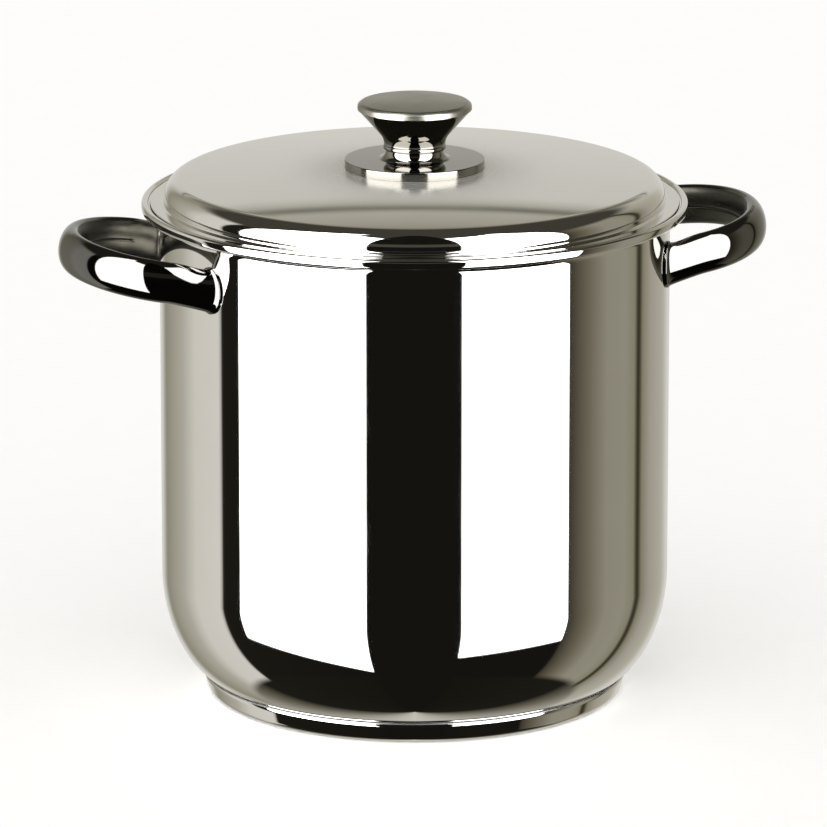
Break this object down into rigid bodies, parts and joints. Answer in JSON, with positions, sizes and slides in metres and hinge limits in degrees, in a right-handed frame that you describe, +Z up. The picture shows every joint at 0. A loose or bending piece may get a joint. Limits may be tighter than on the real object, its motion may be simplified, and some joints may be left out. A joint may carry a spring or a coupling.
{
  "type": "water bath canner",
  "caption": "Tall stainless stockpot with loop handles and a loose domed lid, holding a lift-out wire rack for processing jars in boiling water.",
  "frame": {"origin": "centre of the base's underside, where the pot stands", "axes": "+Z up along the pot's axis, +X through the right handle, +Y to the rear"},
  "size_m": [0.396, 0.2996, 0.3326],
  "materials": {
    "polished_steel": "mirror polished stainless steel",
    "satin_steel": "satin stainless steel",
    "disc_aluminium": "rolled aluminium",
    "wire_steel": "electropolished stainless wire",
    "screw_steel": "plain stainless fastener"
  },
  "bodies": {
    "pot": {"pot_shell": "polished_steel", "pot_rim": "polished_steel", "base_core_disc": "disc_aluminium", "base_capsule": "polished_steel", "left_handle_loop": "polished_steel", "right_handle_loop": "polished_steel", "left_front_pad": "polished_steel", "left_rear_pad": "polished_steel", "right_front_pad": "polished_steel", "right_rear_pad": "polished_steel"},
    "rack": {"rack_floor_ring": "wire_steel", "rack_inner_rings": "wire_steel", "rack_cross_wires": "wire_steel", "rack_feet": "wire_steel", "rack_uprights": "wire_steel", "rack_hoop": "wire_steel", "rack_divider_hub": "wire_steel", "rack_divider_wires": "wire_steel", "rack_pivot_eyes": "wire_steel"},
    "left_bail": {"left_bail": "wire_steel"},
    "right_bail": {"right_bail": "wire_steel"},
    "lid": {"lid_shell": "polished_steel", "knob_skirt": "polished_steel", "knob_collar": "polished_steel", "knob_grip": "polished_steel", "knob_cap": "satin_steel", "knob_insert": "screw_steel", "knob_washer": "screw_steel", "knob_spring_washer": "screw_steel", "knob_screw": "screw_steel"}
  },
  "joints": [
    {"name": "rack_lift", "type": "slide", "parent": "pot", "child": "rack", "axis": [0, 0, 1], "range_m": [0, 0.29]},
    {"name": "lid_lift", "type": "slide", "parent": "rack", "child": "lid", "axis": [0, 0, 1], "range_m": [0, 0.3]},
    {"name": "left_bail_swing", "type": "hinge", "parent": "rack", "child": "left_bail", "pos_m": [-0.12238, 0, 0.10257], "axis": [0, 1, 0], "range_deg": [0, 84]},
    {"name": "right_bail_swing", "type": "hinge", "parent": "rack", "child": "right_bail", "pos_m": [0.12238, 0, 0.10257], "axis": [0, -1, 0], "range_deg": [0, 84]}
  ]
}
